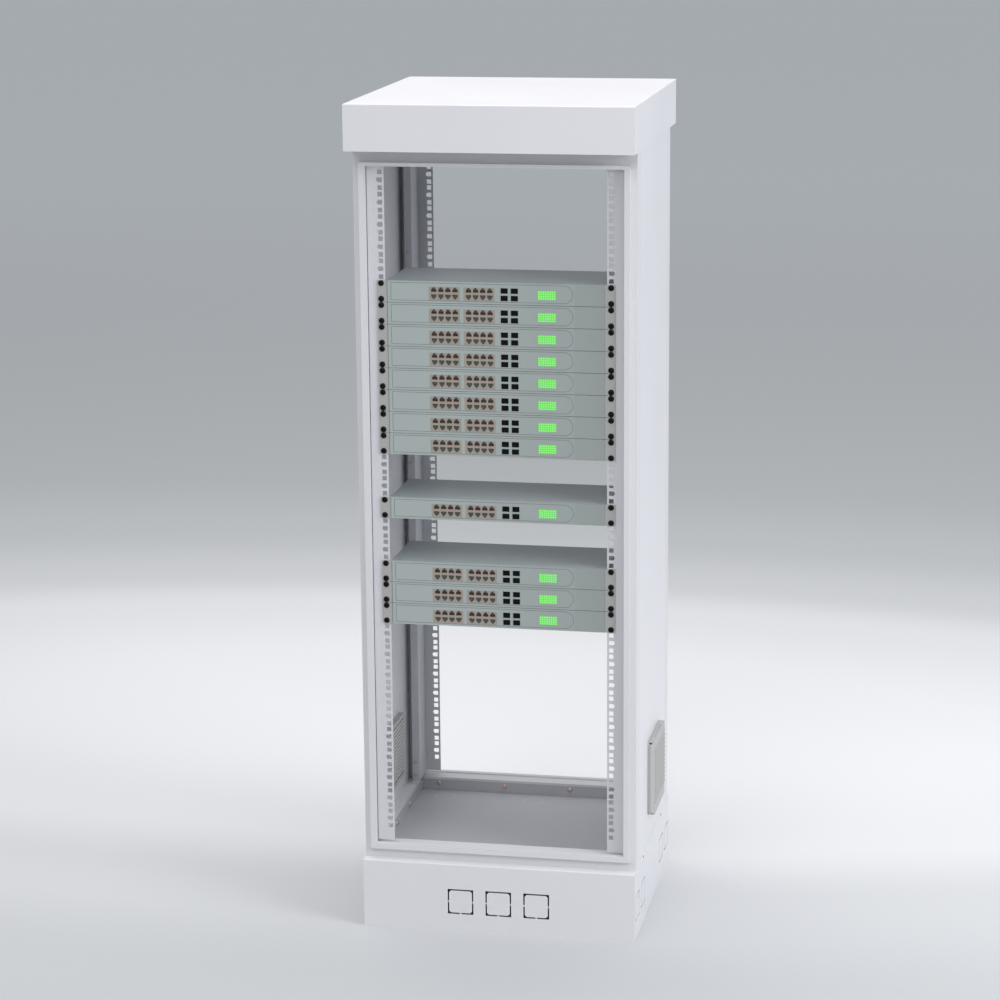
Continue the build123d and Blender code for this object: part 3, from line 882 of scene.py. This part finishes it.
class CABINET_OT_inlets(bpy.types.Operator):
    """Mains inlets on the backs of the switches, and black strips as painted shade in their air slots"""

    bl_idname = "cabinet.inlets"
    bl_label = "Add the mains inlets"

    def execute(self, context):
        black = painted("inlet_black_plastic", (0.010, 0.010, 0.011), roughness=0.4, **FINE)
        steel = plated("inlet_pin_plating", (0.60, 0.58, 0.54), 0.3)
        x, up = 0.15, 0.0218
        rim, mouth, well = (0.031, 0.026), (0.024, 0.017), (0.026, 0.019)
        rim_stand, well_sheet = 0.004, 0.0003
        pin_offsets = ((-0.007, -0.002), (0.0, 0.002), (0.007, -0.002))
        slot_count, slot_start, slot_pitch = 34, -0.19, 0.008
        rims, wells = Solid(), Solid()
        pins, slots = [], []
        for number in switches:
            middle = switch_base(number) + up
            rims.ring(rectangle(x, middle, *rim), rectangle(x, middle, *mouth), rim_stand, BACK)
            wells.prism(rectangle(x, middle, *well), well_sheet, BACK)
            pins += [(x + right, BACK, middle + rise) for right, rise in pin_offsets]
            slots += [(slot_start + i * slot_pitch, BACK, middle) for i in range(slot_count)]
        rims.piece("inlet_rims", black, "port_black")
        wells.piece("inlet_wells", black, "port_black")
        grow(
            "inlet_pins", pins, TO_BACK, block_tree(), steel, "port_metal",
            width=0.002, length=0.004, height=0.0035,
        )
        # Painted shade: thin black strips stand where the back's air slots open into the dark case
        grow(
            "back_air_slot_shade", slots, TO_BACK, block_tree(), black, "port_black",
            width=0.0032, length=0.024, height=0.0002,
        )
        return {"FINISHED"}


class CABINET_OT_rack_screws(bpy.types.Operator):
    """Black screws that hold the switches, and the cage nuts behind them"""

    bl_idname = "cabinet.rack_screws"
    bl_label = "Add the rack screws"

    def execute(self, context):
        screws = context.scene.cabinet_screws
        black = plated("blackened_steel", screws.black, 0.4)
        steel = plated("cage_nut_plating", (0.55, 0.55, 0.56), 0.35)
        hole_side, hole_heights, unit_gap = 0.23255, (0.00635, 0.0381), 0.000425
        ear_setback, rail_sheet = 0.001, 0.002
        holes = [
            (side * hole_side, switch_base(number) - unit_gap + height)
            for number in switches
            for side in (-1, 1)
            for height in hole_heights
        ]
        heads = [(x, FRONT + ear_setback, z) for x, z in holes]
        grow(
            "rack_screws", heads, TO_FRONT, screw_tree(), black, "screw_black",
            head_radius=screws.rack_radius, head_height=screws.rack_height, recess=0.0012,
        )
        nuts = [(x, rail_low.y + rail_sheet, z) for x, z in holes]
        grow(
            "cage_nuts", nuts, TO_BACK, block_tree(), steel, "port_metal",
            width=0.0125, length=0.0115, height=0.0055,
        )
        return {"FINISHED"}


class CABINET_OT_frame_screws(bpy.types.Operator):
    """Screws in the floor tray, the rails, the plinth's sides and the switches' lids"""

    bl_idname = "cabinet.frame_screws"
    bl_label = "Add the frame screws"

    def execute(self, context):
        screws = context.scene.cabinet_screws
        self.tray_and_rails(screws)
        self.plinth_sides(screws)
        self.lids()
        return {"FINISHED"}

    def tray_and_rails(self, screws):
        """Plated screws inside the tray's upturned edges and on the rails' folded-back edges."""
        yellow = plated("yellow_plating", screws.plated, 0.4)
        tray_sheet, rail_return, rail_web = 0.0015, 0.014, 0.070
        end, side = tray_high.y - tray_sheet, tray_high.x - tray_sheet
        end_places, end_height = (-0.222, -0.074, 0.074, 0.222), 0.1635
        side_places, side_height = (-0.063, 0.063), 0.159
        rail_heights = (0.195, 0.224, 0.903, 1.362)
        return_x, return_y = rail_low.x + rail_return / 2, -rail_low.y - rail_web
        places, ways = [], []
        for sign in (-1, 1):
            places += [(x, sign * end, end_height) for x in end_places]
            ways += [(0, -sign, 0)] * len(end_places)
            places += [(sign * side, y, side_height) for y in side_places]
            ways += [(-sign, 0, 0)] * len(side_places)
            for back in (-1, 1):
                places += [(sign * return_x, back * return_y, z) for z in rail_heights]
                ways += [(0, -back, 0)] * len(rail_heights)
        grow(
            "frame_screws", places, ways, screw_tree(), yellow, "plated_screw",
            head_radius=screws.frame_radius, head_height=screws.frame_height, recess=0.0014,
        )

    def plinth_sides(self, screws):
        """Two small dark screws in each side of the plinth."""
        black = plated("side_screw_steel", screws.black, 0.5)
        plinth_side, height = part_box("plinth")[1].x, 0.1435
        places = [(sign * plinth_side, y, height) for sign in (-1, 1) for y in (-0.137, 0.131)]
        ways = [(math.copysign(1, x), 0, 0) for x, _, _ in places]
        grow(
            "side_screws", places, ways, screw_tree(), black, "screw_black",
            head_radius=0.0027, head_height=0.0008, recess=0.0006,
        )

    def lids(self):
        """Flat screws on the lid of each switch that has none right above it."""
        steel = plated("lid_screw_plating", (0.42, 0.44, 0.44), 0.35)
        columns, edge, near = (-0.206, 0.0, 0.206), 0.012, 0.002
        places = []
        for number in switches:
            low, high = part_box(f"switch_{number:02d}_case")
            if not any(abs(switch_base(other) - high.z) < near for other in switches):
                places += [(x, y, high.z) for x in columns for y in (low.y + edge, high.y - edge)]
        grow(
            "lid_screws", places, UPWARDS, screw_tree(), steel, "port_metal",
            head_radius=0.0028, head_height=0.0007, recess=0.0006,
        )


class CABINET_OT_floor_knockouts(bpy.types.Operator):
    """Pressed round knockouts in the floor, each a seam of three arcs, painted pale as a painted highlight on
    the pressed edge
    """

    bl_idname = "cabinet.floor_knockouts"
    bl_label = "Add the floor knockouts"

    def execute(self, context):
        paint = context.scene.cabinet_paint
        # The seam is paler than the floor sheet: a painted highlight where the pressed edge catches light
        pale = painted("knockout_seam_highlight", scaled(paint.inner, 1.35), paint.grain, roughness=0.5)
        tray_sheet, stand, radius, half_line = 0.0015, 0.0002, 0.022, 0.0007
        columns, row = (-0.2, 0.0, 0.2), 0.158
        arcs, spans, first, sweep = 3, 14, 8, 104
        floor = tray_low.z + tray_sheet
        verts, faces = [], []
        for x in columns:
            for arc in range(arcs):
                start = len(verts)
                end = start + 4 * spans
                for i in range(spans + 1):
                    angle = math.radians(arc * 360 / arcs + first + i * sweep / spans)
                    for r in (radius - half_line, radius + half_line):
                        for z in (floor, floor + stand):
                            verts.append((x + r * math.cos(angle), row + r * math.sin(angle), z))
                for a in range(start, end, 4):
                    b = a + 4
                    faces += [
                        [a, a + 2, b + 2, b],
                        [a + 1, b + 1, b + 3, a + 3],
                        [a, b, b + 1, a + 1],
                        [a + 2, a + 3, b + 3, b + 2],
                    ]
                faces += [[start, start + 1, start + 3, start + 2], [end, end + 2, end + 3, end + 1]]
        mesh_piece("floor_knockouts", verts, faces, pale)
        return {"FINISHED"}


class CABINET_OT_stage(bpy.types.Operator):
    """Pale floor, soft light and the camera"""

    bl_idname = "cabinet.stage"
    bl_label = "Set the stage"

    def execute(self, context):
        stage = context.scene.cabinet_stage
        scene = context.scene
        scene.view_settings.view_transform = "Standard"
        self.floor(stage)
        self.light(scene, stage)
        self.camera(scene, stage)
        return {"FINISHED"}

    def floor(self, stage):
        """A wide pale floor with a painted pool of light, brightest in an oval behind the cabinet."""
        material, tree, shader = new_material("floor_sheet", roughness=0.7)
        # Painted light: the floor's colour is brightest in a pool behind the cabinet and fades with distance
        squeeze, pool_centre, reach = (0.45, 1.0, 1.0), (-0.135, 1.3, 0.0), 12.0
        pool_edge, shares = 0.04, ((0.083, 0.82), (0.11, 0.42), (0.155, 0.15), (0.22, 0.0))
        oval = put(tree.nodes, "ShaderNodeVectorMath", operation="MULTIPLY")
        oval.inputs[1].default_value = squeeze
        tree.links.new(surface_place(tree), oval.inputs[0])
        distance = put(tree.nodes, "ShaderNodeVectorMath", operation="DISTANCE")
        distance.inputs[1].default_value = pool_centre
        tree.links.new(oval.outputs[0], distance.inputs[0])
        ramp = put(tree.nodes, "ShaderNodeValToRGB")
        ramp.color_ramp.interpolation = "EASE"
        tree.links.new(math_node(tree, "DIVIDE", distance.outputs["Value"], reach, True), ramp.inputs["Fac"])
        tree.links.new(ramp.outputs["Color"], shader.inputs["Base Color"])
        steps = [(pool_edge, stage.bright)]
        for at, share in shares:
            steps.append((at, [a + share * (b - a) for a, b in zip(stage.middle, stage.bright)]))
        steps.append((1.0, stage.far))
        stops = ramp.color_ramp.elements
        stops[0].position = pool_edge
        for at, _ in steps[1:-1]:
            stops.new(at)
        for stop, (_, rgb) in zip(stops, steps):
            stop.color = (*rgb, 1)
        mesh = bpy.data.meshes.new("floor")
        count, radius = 96, 60.0
        turn = [2 * math.pi * i / count for i in range(count)]
        rim = [(radius * math.cos(a), radius * math.sin(a), 0.0) for a in turn]
        mesh.from_pydata(rim, [], [list(range(count))])
        mesh.materials.append(material)
        floor = bpy.data.objects.new("floor", mesh)
        bpy.context.scene.collection.objects.link(floor)

    def light(self, scene, stage):
        """Even light that grows towards the zenith, and three soft lamps."""
        even, rise = 0.55, 1.1
        world = bpy.data.worlds.new("studio")
        scene.world = world
        world.use_nodes = True
        tree = world.node_tree
        back = tree.nodes["Background"]
        back.inputs["Color"].default_value = (0.96, 0.98, 1.0, 1)
        way = put(tree.nodes, "ShaderNodeSeparateXYZ")
        tree.links.new(put(tree.nodes, "ShaderNodeTexCoord").outputs["Generated"], way.inputs["Vector"])
        above = math_node(tree, "MAXIMUM", way.outputs["Z"], 0.0)
        above = math_node(tree, "MULTIPLY", above, rise * stage.sky)
        tree.links.new(math_node(tree, "ADD", above, even * stage.sky), back.inputs["Strength"])
        for name, place, aim, size, power, tint in (
            ("overhead", (-0.4, 0.25, 5.0), (0.0, 0.25, 1.0), 3.0, stage.overhead, (1.0, 0.98, 0.965)),
            ("side", (4.3, -1.9, 2.6), (0.0, 0.0, 1.0), 2.2, stage.side, (0.975, 0.985, 1.0)),
            ("front", (-0.7, -5.6, 5.0), (0.0, 0.0, 0.9), 3.6, stage.front, (1.0, 0.98, 0.965)),
        ):
            lamp = bpy.data.lights.new(name, "AREA")
            lamp.energy = power
            lamp.size = size
            lamp.color = tint
            thing = bpy.data.objects.new(name, lamp)
            thing.location = place
            thing.rotation_euler = (Vector(aim) - Vector(place)).to_track_quat("-Z", "Y").to_euler()
            scene.collection.objects.link(thing)

    def camera(self, scene, stage):
        """The photograph's view, from the camera that was fitted to the rails' holes."""
        place = Vector((1.10809, -5.92123, 2.28059))
        yaw, pitch, roll = 0.1931, -0.2332, -0.0088
        lens = bpy.data.cameras.new("camera")
        lens.lens = stage.focal
        lens.shift_x = 0.0048
        lens.shift_y = 0.0083
        lens.clip_end = 200.0
        ahead = Vector((-math.sin(yaw) * math.cos(pitch), math.cos(yaw) * math.cos(pitch), math.sin(pitch)))
        right = Vector((math.cos(yaw), math.sin(yaw), 0.0))
        up = right.cross(ahead)
        across = math.cos(roll) * right + math.sin(roll) * up
        upward = math.cos(roll) * up - math.sin(roll) * right
        camera = bpy.data.objects.new("camera", lens)
        turn = Matrix((across, upward, -ahead)).transposed()
        camera.matrix_world = Matrix.Translation(place) @ turn.to_4x4()
        scene.collection.objects.link(camera)
        scene.camera = camera


class CABINET_PT_panel(bpy.types.Panel):
    """Lists the steps that finish the cabinet"""

    bl_idname = "CABINET_PT_panel"
    bl_label = "Rack cabinet"
    bl_space_type = "VIEW_3D"
    bl_region_type = "UI"
    bl_category = "Cabinet"

    def draw(self, context):
        for group in ("cabinet_paint", "switch_looks", "cabinet_screws", "cabinet_stage"):
            box = self.layout.box()
            settings = getattr(context.scene, group)
            for name in settings.bl_rna.properties.keys():
                if name not in ("rna_type", "name"):
                    box.prop(settings, name)
        for step in STEPS:
            self.layout.operator(step.bl_idname)


STEPS = (
    CABINET_OT_paint,
    CABINET_OT_vents,
    CABINET_OT_switch_paint,
    CABINET_OT_ports,
    CABINET_OT_sockets,
    CABINET_OT_displays,
    CABINET_OT_outlines,
    CABINET_OT_inlets,
    CABINET_OT_rack_screws,
    CABINET_OT_frame_screws,
    CABINET_OT_floor_knockouts,
    CABINET_OT_stage,
)
GROUPS = {
    "cabinet_paint": CabinetPaint,
    "switch_looks": SwitchLooks,
    "cabinet_screws": CabinetScrews,
    "cabinet_stage": CabinetStage,
}


def register():
    for name, group in GROUPS.items():
        bpy.utils.register_class(group)
        setattr(bpy.types.Scene, name, PointerProperty(type=group))
    for item in (*STEPS, CABINET_PT_panel):
        bpy.utils.register_class(item)


def unregister():
    for item in (CABINET_PT_panel, *reversed(STEPS)):
        bpy.utils.unregister_class(item)
    for name, group in GROUPS.items():
        delattr(bpy.types.Scene, name)
        bpy.utils.unregister_class(group)


def main():
    register()
    for step in STEPS:
        area, action = step.bl_idname.split(".")
        getattr(getattr(bpy.ops, area), action)()


if __name__ == "__main__":
    main()
